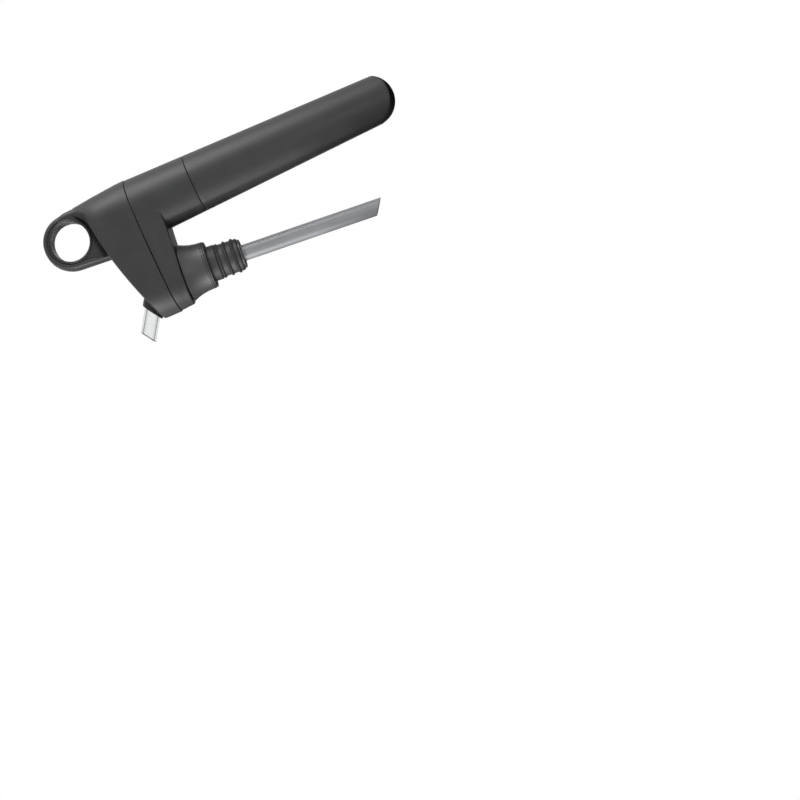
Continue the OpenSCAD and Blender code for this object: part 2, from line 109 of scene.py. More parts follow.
def meshFromGrid(name, points, wrapU, wrapV):
    # A mesh from a grid of points in millimetres, with a quad between every four neighbours, closed
    # round in either direction where asked.
    nu, nv = points.shape[:2]
    u = np.arange(nu if wrapU else nu - 1)
    v = np.arange(nv if wrapV else nv - 1)
    a, b = np.meshgrid(u, v, indexing="ij")
    c, d = (a + 1) % nu, (b + 1) % nv
    faces = np.stack([a * nv + b, c * nv + b, c * nv + d, a * nv + d], -1)
    mesh = bpy.data.meshes.new(name)
    mesh.vertices.add(nu * nv)
    mesh.vertices.foreach_set("co", (points * mm).ravel())
    mesh.loops.add(faces.size)
    mesh.loops.foreach_set("vertex_index", faces.ravel())
    mesh.polygons.add(faces.size // 4)
    mesh.polygons.foreach_set("loop_start", np.arange(0, faces.size, 4))
    mesh.update(calc_edges=True)
    weld(mesh)
    return mesh


def addObject(name, data, material=None):
    obj = bpy.data.objects.new(name, data)
    bpy.context.scene.collection.objects.link(obj)
    if material:
        data.materials.append(material)
    return obj


def addPiece(name, mesh, body, slotName, node, sharp, material=None):
    # A finished mesh as a piece that rides on a body and replaces a node, in its slot's material unless
    # another is given. Edges that turn by more than sharp degrees are shaded sharp.
    mesh.polygons.foreach_set("use_smooth", np.ones(len(mesh.polygons), bool))
    mesh.set_sharp_from_angle(angle=math.radians(sharp))
    obj = addObject(name, mesh, material or slotMaterial[slotName])
    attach(obj, body)
    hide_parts(node)
    return obj


def booleanMesh(name, first, steps):
    # The first mesh with each (operation, mesh) applied in turn, by the exact solver.
    base = addObject(name, first)
    for operation, tool in steps:
        other = addObject(name + "Tool", tool)
        change = base.modifiers.new(operation, "BOOLEAN")
        change.operation, change.solver, change.object = operation, "EXACT", other
        bpy.context.view_layer.update()
        evaluated = base.evaluated_get(bpy.context.evaluated_depsgraph_get())
        result = bpy.data.meshes.new_from_object(evaluated)
        base.modifiers.clear()
        base.data = result
        bpy.data.objects.remove(other)
    result = base.data
    bpy.data.objects.remove(base)
    weld(result)
    return result


def plan(z, nose, grip, waist=None):
    # Plan outline of the head at height z, one height for each point: a circle at the nose and one at
    # the handle, joined by their outer tangents. nose and grip give centre x and radius at a height,
    # waist how far the sides are drawn in half-way. Returns the points and the spine points that they
    # close in to.
    z = np.broadcast_to(z, (headCount,))
    noseX, noseRadius = nose(z)
    gripX, gripRadius = grip(z)
    tangent = np.arccos(np.clip((noseRadius - gripRadius) / (gripX - noseX), -1, 1))
    arc, side = np.arange(headArc) / headArc, np.arange(headSide) / headSide
    t = np.concatenate([arc, side, arc, side])
    stretch = np.repeat([0, 1, 2, 3], [headArc, headSide, headArc, headSide])
    angle = np.choose(stretch, [-tangent + 2 * tangent * t, tangent,
                                tangent + 2 * (np.pi - tangent) * t, -tangent])
    along = np.choose(stretch, [np.zeros(headCount), t, np.ones(headCount), 1 - t])
    centre = gripX + (noseX - gripX) * along
    radius = gripRadius + (noseRadius - gripRadius) * along
    if waist is not None:
        radius = radius - waist(z) * np.sin(np.pi * along) ** 2
    points = np.stack([centre + radius * np.cos(angle), radius * np.sin(angle)], -1)
    return points, np.stack([centre, np.zeros(headCount)], -1)


def corner(outline, cap, start, radius, steps):
    # Rounds the edge between a wall that follows outline(z) and a cap surface z = cap(x, y): a circle of
    # that radius that touches the wall's line and the cap's line, both taken in the upright plane that
    # looks inwards. Returns the wall's end heights, the arc's points and where the cap's rows begin.
    steepest = 1.35               # radians that a cap's line may rise
    p, spine = outline(start)
    for _ in range(4):            # the edge's place and its height settle together
        height = cap(p[:, 0], p[:, 1])
        p, spine = outline(height)
    inward = spine - p
    depth = np.linalg.norm(inward, axis=1)
    inward = inward / depth[:, None]
    lower, _ = outline(height - 1)
    lean = np.arctan(np.einsum("ij,ij->i", p - lower, inward))
    step = np.minimum(radius, depth) * 0.6
    q = p + inward * step[:, None]
    rise = np.arctan((cap(q[:, 0], q[:, 1]) - height) / step)
    rise = np.clip(rise, -steepest, steepest - np.maximum(lean, 0))
    a = radius * (np.cos(rise) - np.sin(lean)) / np.cos(lean + rise)
    b = -radius * (np.cos(lean) - np.sin(rise)) / np.cos(lean + rise)
    t = np.linspace(0, 1, steps)[:, None]
    turn = (np.pi - lean) + (np.pi / 2 + rise - (np.pi - lean)) * t
    d = a + radius * np.cos(turn)
    z = height + b + radius * np.sin(turn)
    arcPoints = np.concatenate([p + inward * d[..., None], z[..., None]], -1)
    return z[0], arcPoints, (p, inward, d[-1], depth)


def capRows(edge, cap, count):    # rows from the rounded edge to the spine, on the cap's surface
    p, inward, first, depth = edge
    t = np.linspace(0, 1, count + 1)[1:, None]
    d = first + (depth - first) * t
    xy = p + inward * d[..., None]
    return np.concatenate([xy, cap(xy[..., 0], xy[..., 1])[..., None]], -1)


def flip(points):                 # upside down
    return points * np.array([1, 1, -1])


def level(height):                # a flat cap
    return lambda x, y: height + 0 * x


def walledForm(outline, low, high, lowRadius, highRadius, start, wallRows=14, capCount=14, arcSteps=7):
    # A closed form: a wall that follows outline(z) between a low and a high cap, with rounded edges. The
    # low edge is worked out upside down, and start gives rough heights of both. Returns rows of points,
    # each once round.
    def upsideDown(z):
        return outline(-np.asarray(z))

    def lowCap(x, y):
        return -low(x, y)

    highEnd, highArc, highEdge = corner(outline, high, start[1], highRadius, arcSteps)
    lowEnd, lowArc, lowEdge = corner(upsideDown, lowCap, -start[0], lowRadius, arcSteps)
    wall = []
    for t in np.linspace(0, 1, wallRows + 2)[1:-1]:
        z = -lowEnd + (highEnd + lowEnd) * t
        wall.append(np.concatenate([outline(z)[0], z[:, None]], -1))
    return np.concatenate([flip(capRows(lowEdge, lowCap, capCount))[::-1], flip(lowArc)[::-1],
                           np.array(wall), highArc, capRows(highEdge, high, capCount)])


def lathe(profile):               # a profile of (radius, height) turned once round the local z axis
    a = around(turnedCount)[:, None]
    r, z = np.array(profile, float).T
    return np.stack([np.cos(a) * r, np.sin(a) * r, np.broadcast_to(z, (turnedCount, len(z)))], -1)


def arcProfile(cr, cz, r, fromDeg, toDeg, steps=6):    # points of an arc round (cr, cz)
    t = np.radians(np.linspace(fromDeg, toDeg, steps))
    return list(zip(cr + r * np.cos(t), cz + r * np.sin(t)))


def placed(points, origin, zAxis):
    # Turns points about the y axis so that their z runs along zAxis (x, z), and moves them.
    ax, az = np.array(zAxis) / np.hypot(*zAxis)
    x, y, z = points[..., 0], points[..., 1], points[..., 2]
    return np.stack([origin[0] + x * az + z * ax, y, origin[1] - x * ax + z * az], -1)


def circle(r, count, cx=0.0):
    a = around(count)
    return np.stack([cx + r * np.cos(a), r * np.sin(a)], -1)


def longHole(straight, r):
    # Outline across the local z axis: half circles of radius r, set apart by straight on either side.
    a = around(holeCount)
    apart = straight * np.sign(np.cos(a)) * (np.abs(np.cos(a)) > 1e-9)
    return np.stack([r * np.cos(a) + apart, r * np.sin(a)], -1)


def scaledRows(outline, rows):    # the outline repeated at each (scale, height)
    return np.stack([np.concatenate([outline * scale, np.full((len(outline), 1), z)], -1)
                     for scale, z in rows])


def columnMesh(name, outline, z0, z1, origin, axis):    # plain column with that outline, for cutting
    points = scaledRows(outline, [(0, z0), (1, z0), (1, z1), (0, z1)])
    return meshFromGrid(name, placed(points, origin, axis), False, True)


lean = math.radians(shape["lean"])
handleUp = (-math.sin(lean), math.cos(lean))
spoutOut = (-math.cos(math.radians(shape["spoutTilt"])), math.sin(math.radians(shape["spoutTilt"])))

spout = {
    "outer": 4.35,
    "inner": 3.4,
    "start": 7.6,                 # distance along the axis from the spout's root
    "cutLow": (-29.52, 40.65),    # lower and upper end of the slanted mouth, side view
    "cutHigh": (-22.26, 46.33),
    "rim": 0.28,
}

looks = {
    "steelColour": (0.56, 0.57, 0.60),
    "mottle": 70,                 # cells per metre of the slow changes in colour and gloss
    "slowGloss": 0.03,            # slow and fine change of the roughness, either way
    "fineGloss": 0.04,
    "spoutColour": (0.89, 0.9, 0.9),
    # Painted shade: the two dark colours below stand in for the tube's darkening where it is seen edge on and
    # along its cut lip.
    "spoutEdgeShade": (0.03, 0.032, 0.035),
    "spoutLipShade": (0.07, 0.072, 0.075),
    "spoutIndex": 1.03,           # low, so that the thin wall bends hardly any light
    "spoutGloss": (0.01, 0.03),
    "flowLines": 260,             # cells per metre
    "boreShade": 1.7,              # how strongly painted shade darkens the spout's bore and its outer skin where they are seen edge on
    "outerSkinShade": 0.55,
    "skinRadii": (3.6, 4.2),      # radii between which one passes into the other
    "lipShadeDepth": (-0.3, -0.2),     # heights over the cut's plane between which the lip's painted shade comes in
}


def newMaterial(name):
    mat = bpy.data.materials.new(name)
    mat.use_nodes = True
    tree = mat.node_tree
    return mat, tree, tree.nodes["Principled BSDF"]


def connect(tree, node, values):
    # Sets a node's sockets to fixed values, three for a colour, or links them to other sockets. A node
    # given as a value stands for its first output.
    for name, value in values.items():
        socket = node.inputs[name]
        if isinstance(value, bpy.types.Node):
            value = value.outputs[0]
        if isinstance(value, bpy.types.NodeSocket):
            tree.links.new(value, socket)
        else:
            socket.default_value = (*value, 1) if socket.type == "RGBA" else value


def addNode(tree, kind, values, **settings):
    node = tree.nodes.new("ShaderNode" + kind)
    for name, value in settings.items():
        setattr(node, name, value)
    connect(tree, node, values)
    return node


def noiseNode(tree, scale, detail, rough=0.55, stretch=(1, 1, 1)):
    # Noise on object coordinates, scale in cells per metre.
    coords = addNode(tree, "TexCoord", {})
    mapping = addNode(tree, "Mapping", {"Vector": coords.outputs["Object"], "Scale": stretch})
    return addNode(tree, "TexNoise", {"Vector": mapping, "Scale": scale, "Detail": detail,
                                      "Roughness": rough})


def mapped(tree, source, fromRange, toRange):
    # Maps one range onto another and holds the end values outside.
    return addNode(tree, "MapRange", {"Value": source, "From Min": fromRange[0], "From Max": fromRange[1],
                                      "To Min": toRange[0], "To Max": toRange[1]})


def spread(tree, noise, low, high):    # noise stays mostly between 0.3 and 0.7
    return mapped(tree, noise, (0.3, 0.7), (low, high))


def tinted(tree, factor, first, second):    # a mix of two colours, each fixed or from a node
    mix = addNode(tree, "Mix", {"Factor": factor, "A": first, "B": second}, data_type="RGBA")
    return mix.outputs["Result"]


def moulded(name, colour, roughness, grain=2600, depth=0.004, change=0.12, metallic=0.0,
            stretch=(1, 1, 1), specular=0.5):
    # A moulded or machined finish: fine grain in the bump, slow changes in colour and gloss. grain is
    # in cells per metre, depth in millimetres.
    mat, tree, shader = newMaterial(name)
    slow = noiseNode(tree, looks["mottle"], 4)
    fine = noiseNode(tree, grain, 2, 0.6, stretch)
    darker = tuple(c * (1 - change) for c in colour)
    lighter = tuple(min(1, c * (1 + change)) for c in colour)
    tone = tinted(tree, spread(tree, slow, 0, 1), darker, lighter)
    slowGloss = spread(tree, slow, roughness - looks["slowGloss"], roughness + looks["slowGloss"])
    fineGloss = spread(tree, fine, -looks["fineGloss"], looks["fineGloss"])
    gloss = addNode(tree, "Math", {0: slowGloss, 1: fineGloss}, operation="ADD")
    bump = addNode(tree, "Bump", {"Strength": 0.5, "Distance": depth * mm, "Height": fine})
    connect(tree, shader, {"Base Color": tone, "Roughness": gloss, "Metallic": metallic,
                           "Specular IOR Level": specular, "Normal": bump})
    return mat


def axisFrame(tree, origin, tiltDegrees):
    # Object coordinates in metres, moved to an origin in the centre plane and turned about the y axis.
    coords = addNode(tree, "TexCoord", {})
    moved = addNode(tree, "VectorMath", {0: coords.outputs["Object"], 1: (origin[0] * mm, 0, origin[1] * mm)},
                    operation="SUBTRACT")
    return addNode(tree, "VectorRotate", {"Vector": moved, "Angle": math.radians(tiltDegrees)},
                   rotation_type="Y_AXIS")


def clearPlastic(name):
    # Clear moulded tube with painted shade in its colour: pale where it is looked through squarely, painted
    # dark where its bore is seen edge on, less so at its outer skin, and painted dark along the cut lip.
    # Faint flow lines in the gloss.
    mat, tree, shader = newMaterial(name)
    facing = addNode(tree, "LayerWeight", {"Blend": 0.5})
    sharper = addNode(tree, "Math", {0: facing.outputs["Facing"], 1: 2}, operation="POWER")
    local = axisFrame(tree, (0, shape["spoutRoot"]), 90 - shape["spoutTilt"])
    across = addNode(tree, "VectorMath", {0: local, 1: (1, 1, 0)}, operation="MULTIPLY")
    radius = addNode(tree, "VectorMath", {0: across}, operation="LENGTH")
    shadeGain = mapped(tree, radius.outputs["Value"], [r * mm for r in looks["skinRadii"]],
                  (looks["boreShade"], looks["outerSkinShade"]))
    # Painted shade: the facing mask darkens the base colour where the tube is seen edge on.
    edgeShade = addNode(tree, "Math", {0: sharper, 1: shadeGain}, operation="MULTIPLY", use_clamp=True)
    wall = tinted(tree, edgeShade, looks["spoutColour"], looks["spoutEdgeShade"])
    cutTilt = math.degrees(math.atan2(spout["cutHigh"][1] - spout["cutLow"][1],
                                      spout["cutHigh"][0] - spout["cutLow"][0]))
    height = addNode(tree, "SeparateXYZ", {"Vector": axisFrame(tree, spout["cutLow"], cutTilt)})
    # Painted shade along the cut lip.
    lipShade = mapped(tree, height.outputs["Z"], [d * mm for d in looks["lipShadeDepth"]], (0, 1))
    tone = tinted(tree, lipShade, wall, looks["spoutLipShade"])
    gloss = spread(tree, noiseNode(tree, looks["flowLines"], 2, 0.5), *looks["spoutGloss"])
    connect(tree, shader, {"Base Color": tone, "Roughness": gloss, "Transmission Weight": 1,
                           "IOR": looks["spoutIndex"]})
    return mat


# Name, colour and roughness of each slot's finish, and what else sets it apart.
slotMaterial = {
    "charcoal_shell": moulded("charcoalMouldedPlastic", (0.026, 0.0263, 0.0272), 0.5, specular=0.25),
    "dark_plastic": moulded("darkCollarPlastic", (0.012, 0.012, 0.0125), 0.42, specular=0.25),
    "button_plastic": moulded("buttonPlastic", (0.022, 0.0225, 0.0235), 0.4, grain=3400, specular=0.35),
    "black_rubber": moulded("blackSealRubber", (0.012, 0.012, 0.012), 0.62, grain=1800, depth=0.04),
    "grey_tube": moulded("greyTubePlastic", (0.2, 0.205, 0.215), 0.45, grain=900, depth=0.0015,
                         change=0.06, stretch=(1, 1, 0.05)),
    "steel_fastener": moulded("brightSteel", looks["steelColour"], 0.24, metallic=1, change=0.05,
                              depth=0.005),
    "capsule_steel": moulded("drawnCapsuleSteel", looks["steelColour"], 0.3, metallic=1, change=0.06,
                             depth=0.006, stretch=(1, 1, 0.03)),
    "brass_body": moulded("machinedBrass", (0.62, 0.46, 0.20), 0.28, metallic=1, change=0.08, depth=0.006),
    "cast_metal": moulded("machinedAluminium", (0.42, 0.43, 0.45), 0.36, metallic=1, change=0.06,
                          depth=0.008),
    "clear_plastic": clearPlastic("clearSpoutPlastic"),
}
# Painted light: a lighter, glossier copy of the charcoal shell for the stopper, standing in for lamp light
# that the head and handle keep off it.
stopperLitPlastic = moulded("stopperLitPlastic", (0.034, 0.0343, 0.0352), 0.5, specular=0.42)
for part in frame["record"]["subparts"]:
    node = frame["nodes"][part["node"]]
    node.data.materials.clear()
    node.data.materials.append(slotMaterial[part["material_slot"]])
print("materials ready")

cover = {
    "noseRadius": 15.45,
    "noseSwell": (0.86, 18, 34),  # what the nose gains upwards, and the heights between which it does
    "outerX": 56.6,               # the outer slope's foot, its height, its lean and its curve
    "outerFoot": 29.3,
    "outerLean": 0.115,
    "outerCurve": 0.00125,
    "outerDraw": (0.45, 34, 56),  # what the slope is drawn in, and between which heights
    "gripRadius": 17.15,
    "gripTaper": (0.085, 26, 40), # the radius's taper, the height where it starts and over how much
    "gripNarrow": (7.8, 47, 65),  # what the radius loses under the ring, and between which heights
    "top": (41.05, 0.42, 0.0025), # height, rise and arch of the top along x
    "topBend": (0.0011, 12),      # its further arch beyond this x
    "arch": 0.004,                # drop of the top per square millimetre from the centre plane
    "noseRound": 1.5,             # edge radii at the nose, along the sides and at the handle's end
    "sideRound": 2.3,
    "gripRound": 2.6,
    "roundAt": 40.0,              # height that they are worked out at, and the half width with the full
    "roundSide": 15.5,            # radius of the sides
    "roundFront": (-16, -2),      # x between which that comes in
    "roundRear": (0, 40),         # x between which the nose's radius passes into the handle's
    "roundEase": (0.35, 40, 54),  # share of the sides' radius that is lost, and between which x
    "seamGap": 0.14,
    "seamRound": 0.28,
    "saddleRadius": 13.1,         # circle round the ring's hole that the saddle's edge follows
    "saddleTurn": 11.45,          # where that edge leaves the circle and runs straight
    "saddleSlope": 1.8,           # slope of the straight run
    "saddleTop": 61.0,
    "saddleFrom": (33, 40),       # x between which the saddle begins
    "saddleSide": 5.4,            # y where the saddle starts to fade
    "saddleReach": 9.5,           # how far it spreads from there
    "saddleBlend": 0.5,           # softness of the line where it leaves the top, square millimetres
}


def noseOfCover(z):               # the nose swells slightly upwards
    return np.full_like(z, shape["noseX"]), cover["noseRadius"] + eased(z, *cover["noseSwell"])


def gripOfCover(z):               # the handle's end leans in as it rises
    above = z - cover["outerFoot"]
    taper, taperFrom, taperOver = cover["gripTaper"]
    right = cover["outerX"] - cover["outerLean"] * above - cover["outerCurve"] * above ** 2 * (above > 0) \
        - eased(z, *cover["outerDraw"])
    radius = cover["gripRadius"] - taper * np.clip(z - taperFrom, 0, taperOver) \
        - eased(z, *cover["gripNarrow"])
    return right - radius, radius


def crown(x, y):
    # Top of the head: a rising parabola in side view less a low arch across it, plus the saddle. At the
    # ring's side the saddle follows a circle round the hole; it fades with the square of the distance
    # from there.
    height, rise, arch = cover["top"]
    bend, bendFrom = cover["topBend"]
    top = height + rise * x - arch * x * x - bend * np.maximum(x - bendFrom, 0) ** 2
    cx, cz = shape["ringAt"]
    across = x - cx
    turn = np.minimum(across, cover["saddleTurn"])
    edge = cz - np.sqrt(np.maximum(cover["saddleRadius"] ** 2 - turn ** 2, 1)) \
        + cover["saddleSlope"] * np.maximum(across - cover["saddleTurn"], 0)
    over = np.minimum(edge, cover["saddleTop"]) - top
    climb = 0.5 * (over + np.sqrt(over ** 2 + cover["saddleBlend"])) * ramp(x, *cover["saddleFrom"])
    side = np.clip((np.abs(y) - cover["saddleSide"]) / cover["saddleReach"], 0, 1)
    return top - cover["arch"] * y * y + climb * (1 - side) ** 2


def coverOutline(z):
    return plan(z, noseOfCover, gripOfCover)


def coverEdgeRadius():
    # Edge radius round the outline: small at the nose, growing along the sides by the cube of the
    # distance from the centre plane, and easing off towards the handle's end.
    p, _ = coverOutline(np.full(headCount, cover["roundAt"]))
    sides = np.clip(np.abs(p[:, 1]) / cover["roundSide"], 0, 1) ** 3
    x = p[:, 0]
    end = cover["noseRound"] + (cover["gripRound"] - cover["noseRound"]) * ramp(x, *cover["roundRear"])
    more = (cover["sideRound"] - end) * sides * ramp(x, *cover["roundFront"])
    return end + more * (1 - eased(x, *cover["roundEase"]))


def coverMesh():                  # the upper shell from the parting line up to the crown
    def seamCap(x, y):
        return seamZ(x) + cover["seamGap"]

    rows = walledForm(coverOutline, seamCap, crown, cover["seamRound"], coverEdgeRadius(),
                      start=(24, 44), wallRows=16, capCount=22, arcSteps=9)
    return meshFromGrid("headCover", rows, False, True)


ring = {
    "count": 240,                 # sections round the hole
    "reach": 15.02,               # distance from the hole's centre to the outline
    "leftMore": (0.25, 0.1, 0.8), # what that gains towards the left and the right, and between which
    "rightMore": (0.05, 0, 0.7),  # cosines of the direction
    "leftSide": 15.3,             # distance from the hole's centre to the straight left side
    "rightSide": 15.8,            # and to the line of the head's outer face, with its lean
    "rightLean": 0.185,
    "foot": 19.5,                 # depth of the buried foot under the hole's centre
    "tuck": 0.4,                  # how far the outer side lies under the head's skin
    "tuckEnds": (57, 65),         # heights between which it comes out of the skin
    "crownBegins": (55, 66),      # and between which its crowning passes from the head's to its own
    "round": 1.15,                # outer edge
    "crown": 15.7,                # radius of the outer side across the ring
    "chamfer": 0.75,
    "valley": 0.62,               # depth of the groove and of the web's recess
    "ditch": 1.5,                 # extra depth of the web where it meets the head
    "ditchWidth": 1.9,
    "grooveIn": (0.95, 1.42),     # the groove's slopes, from the hole and from the outer edge
    "grooveOut": (1.3, 2.0),
    "fadeHeight": (56, 61),       # the groove runs out above the first heights and right of the x, and
    "fadeX": (44, 48),            # is back above the second heights
    "fadeBack": (66, 72),
    "near": [0.95, 1.1, 1.2, 1.3, 1.4],           # rows beyond the chamfer, from the hole
    "far": [2.0, 1.88, 1.76, 1.64, 1.5, 1.35],    # rows before the outer edge, from that edge
}


def ringReach(theta):
    # Distance from the hole's centre to the ring's outline: an arc, a straight left side, the line of
    # the head's leaning outer face on the right, and a buried foot.
    c, s = np.cos(theta), np.sin(theta)
    slant = c + ring["rightLean"] * s
    arc = ring["reach"] + eased(c, *ring["rightMore"]) + eased(-c, *ring["leftMore"])
    left = np.where(c < -0.05, ring["leftSide"] / np.maximum(-c, 0.05), 99)
    right = np.where(slant > 0.1, ring["rightSide"] / np.maximum(slant, 0.1), 99)
    foot = np.where(s < -0.1, ring["foot"] / np.maximum(-s, 0.1), 99)
    below = np.minimum(np.minimum(left, right), foot)
    turnIn = ramp(-np.degrees(np.arctan2(s, c)), -14, 4) * (c > 0)
    return np.where(c > 0, arc + (np.minimum(right, foot) - arc) * turnIn, np.where(s >= 0, arc, below))


def ringMesh():
    # A loop round the hole: for every direction, a section that runs up the hole's wall, over its
    # chamfer, across the face with its groove, round the outer edge and back on the other side. q is
    # the distance from the hole's wall and y the distance from the centre plane.
    theta = around(ring["count"])
    cx, cz = shape["ringAt"]
    hole, half, edge, cut = shape["ringHole"], shape["ringHalf"], ring["round"], ring["chamfer"]
    reach = ringReach(theta)
    height = cz + reach * np.sin(theta)
    outward = np.cos(theta) > 0
    reach = reach - ring["tuck"] * outward * (1 - ramp(height, *ring["tuckEnds"]))
    low, high = ring["crownBegins"]
    headRadius = gripOfCover(np.clip(height, 44, high))[1]
    crowned = ring["crown"] + (headRadius - ring["crown"]) * (outward * (1 - ramp(height, low, high)))

    def widthAt(y):               # the outer side is crowned across the ring
        return reach - hole - (crowned - np.sqrt(crowned ** 2 - y * y))

    def faceDepth(q):
        # The groove lies between the face's two rims, is deepest where the web meets the head, and
        # runs out beside the saddle.
        x, z = cx + (hole + q) * np.cos(theta), cz + (hole + q) * np.sin(theta)
        fromHead = np.maximum(z - crown(x, half), 0)
        depth = (ring["valley"] + ring["ditch"] * np.exp(-(fromHead / ring["ditchWidth"]) ** 2)) \
            * ramp(q, *ring["grooveIn"]) * ramp(width - q, *ring["grooveOut"])
        above, beside = ramp(z, *ring["fadeHeight"]), ramp(x, *ring["fadeX"])
        return depth * (1 - above * beside * (1 - ramp(z, *ring["fadeBack"])))

    rims = ring["near"][-1] + ring["far"][0]
    width = np.maximum(widthAt(half), rims + 0.02)
    near = [np.full_like(width, v) for v in (0, cut, *ring["near"])]
    middle = [ring["near"][-1] + (width - rims) * t for t in np.linspace(0, 1, 20)[1:-1]]
    far = [width - v for v in (*ring["far"], edge)]
    face = np.stack(near + middle + far)
    depth = faceDepth(face)
    depth[0] = cut
    turn = np.radians(np.linspace(90, 0, 9))[1:, None]
    arcY = half - edge + edge * np.sin(turn) * np.ones_like(width)
    arc = np.maximum(widthAt(arcY), width) - edge + edge * np.cos(turn)
    sideY = (half - edge) * np.array([0.8, 0.6, 0.4, 0.2, 0])[:, None] * np.ones_like(width)
    q = np.concatenate([face, arc, np.maximum(widthAt(sideY), width)])
    y = np.concatenate([half - depth, arcY, sideY])
    wallY = np.linspace(-(half - cut), half - cut, 7)[1:-1, None] * np.ones_like(width)
    q = np.concatenate([np.zeros_like(wallY), q, q[-2::-1]])
    y = np.concatenate([wallY, y, -y[-2::-1]])
    points = np.stack([cx + (hole + q) * np.cos(theta), y, cz + (hole + q) * np.sin(theta)], -1)
    return meshFromGrid("ring", points, True, True)


button = {
    "at": (55.0, 41.0),           # a point on the button's axis, and how much the axis looks up
    "lean": 8.4,
    "straight": 2.6,
    "radius": 4.6,
    "gap": 0.3,
    "sink": 0.35,                 # how far the face lies under the cover
    "dish": 0.55,
    "rim": 0.45,
    "foot": -5.4,                 # heights of its underside and of a ring of points on its side
    "skirt": -3.2,
    "hole": (-5.2, 4),            # from where to where the cover's hole is cut
    "bend": 17.0,                 # radius of the cover's round end, which the button follows
}
buttonOut = (math.cos(math.radians(button["lean"])), math.sin(math.radians(button["lean"])))

buttonHole = columnMesh("buttonHole", longHole(button["straight"], button["radius"] + button["gap"]),
                        *button["hole"], button["at"], buttonOut)
headMesh = booleanMesh("headCover", coverMesh(), [("UNION", ringMesh()), ("DIFFERENCE", buttonHole)])
addPiece("headCover", headMesh, "head", "charcoal_shell", "head_cover", 28)
print("head cover done,", len(headMesh.polygons), "faces")

housing = {
    "floor": 14.4,
    "floorRound": 0.9,
    "noseRadius": 13.95,
    "noseSwell": (1.2, 12.5, 24), # what the nose gains upwards, and the heights between which it does
    "gripX": 38.9,
    "gripRadius": 15.6,
    "gripSwell": (1.3, 12, 27),
    "waist": (3.0, 11, 27),       # how far the neck's sides are drawn in, and where that fades upwards
    "seamGap": 0.12,
    "rootFoot": 0.12,             # lower end of the handle's root over the cup's seam, and its edge
    "rootRound": 0.25,
    "mouthRadius": 13.0,
    "mouthTop": 1.6,
    "tubeHole": 4.6,
}


def noseOfHousing(z):             # narrower towards the floor
    return np.full_like(z, shape["noseX"]), housing["noseRadius"] + eased(z, *housing["noseSwell"])


def gripOfHousing(z):
    return np.full_like(z, housing["gripX"]), housing["gripRadius"] + eased(z, *housing["gripSwell"])


def waistOfHousing(z):
    drawn, low, high = housing["waist"]
    return drawn * (1 - ramp(z, low, high))


def panMesh():                    # the lower shell from its floor up to the parting line
    def outline(z):
        return plan(z, noseOfHousing, gripOfHousing, waistOfHousing)

    def seamCap(x, y):
        return seamZ(x) - housing["seamGap"]

    rows = walledForm(outline, level(housing["floor"]), seamCap, housing["floorRound"],
                      cover["seamRound"], start=(15, 24))
    return meshFromGrid("pan", rows, False, True)


def handleOutline(z):
    # Section of the handle at height z of its own axis: the cone's circle cut by the larger circle of
    # the face that bulges towards the stopper, for rays from a point near the middle. Their crossing
    # is softened a little.
    a = around(handleCount)
    z = np.broadcast_to(z, (handleCount,))
    cone = shape["coneRadius"] + shape["coneTaper"] * z
    slip = math.tan(math.radians(shape["innerLean"] - shape["lean"]))
    inner = shape["innerX"] - shape["coneAt"][0] - slip * z + shape["innerRadius"]
    middle = shape["sectionMiddle"]
    c, s = np.cos(a), np.sin(a)
    toCone = -middle * c + np.sqrt(cone ** 2 - (middle * s) ** 2)
    gap = middle - inner
    toInner = -gap * c + np.sqrt(shape["innerRadius"] ** 2 - (gap * s) ** 2)
    soft, over = shape["sectionSoft"]
    reach = np.minimum(toCone, toInner) - soft * np.exp(-np.abs(toCone - toInner) / over)
    spine = np.stack([np.full(handleCount, middle), np.zeros(handleCount)], -1)
    return spine + np.stack([reach * c, reach * s], -1), spine


def rootMesh():                   # handle's root: its section carried from the cup's seam up to the head's
    topZ = 33.0                   # rough height of the parting line on the leaning axis

    def seamCap(x, y):
        z = np.full_like(x, topZ)
        for _ in range(4):        # the line's height and the place along the head settle together
            headX = shape["coneAt"][0] + x * math.cos(lean) - z * math.sin(lean)
            z = (seamZ(headX) - housing["seamGap"] - shape["coneAt"][1] - x * math.sin(lean)) / math.cos(lean)
        return z

    rows = walledForm(handleOutline, level(housing["rootFoot"]), seamCap, housing["rootRound"],
                      cover["seamRound"], start=(0, topZ), wallRows=20)
    return meshFromGrid("handleRoot", placed(rows, shape["coneAt"], handleUp), False, True)


tubeHole = columnMesh("tubeHole", circle(housing["tubeHole"], 64), 12, 17, (0, 0), (0, 1))
mouth = columnMesh("mouth", circle(housing["mouthRadius"], turnedCount, shape["boreShift"]),
                   -3, housing["mouthTop"], shape["coneAt"], handleUp)
bodyMesh = booleanMesh("headHousing", panMesh(), [("UNION", rootMesh()), ("DIFFERENCE", tubeHole),
                                                  ("DIFFERENCE", mouth)])
addPiece("headHousing", bodyMesh, "head", "charcoal_shell", "head_housing", 10)
print("head housing done,", len(bodyMesh.polygons), "faces")

cup = {
    "length": 115.16,
    "tipRadius": 12.9,
    "tipShift": 1.1,
    "tipBulge": 34.0,             # radius of the tip's bulge across the handle
    "tipLimit": 0.97,             # share of the tip's circle that is used before it runs on straight
    "tipRound": 0.5,
    "mouth": -0.12,
    "mouthRound": 0.3,
    "bore": [(13.6, -0.2), (13.6, -9.4), (11.4, -9.4), (11.4, -66), (8.6, -74), (8.6, -84), (0, -84)],
}


def tipSurface(x, y):
    # Rounded tip: a disc turned round a cross axis, whose radius falls off as a larger circle's arc.
    # Near the disc's ends the circle runs on along its tangent.
    bulge, limit = cup["tipBulge"], cup["tipLimit"]
    r = cup["tipRadius"] - bulge + np.sqrt(bulge ** 2 - np.clip(y, -16, 16) ** 2)
    d = np.abs(x - cup["tipShift"]) / r
    e = np.minimum(d, limit)
    rise = (d - e) * limit / math.sqrt(1 - limit ** 2) - np.sqrt(1 - e * e)
    return cup["tipRadius"] - cup["length"] + r * rise


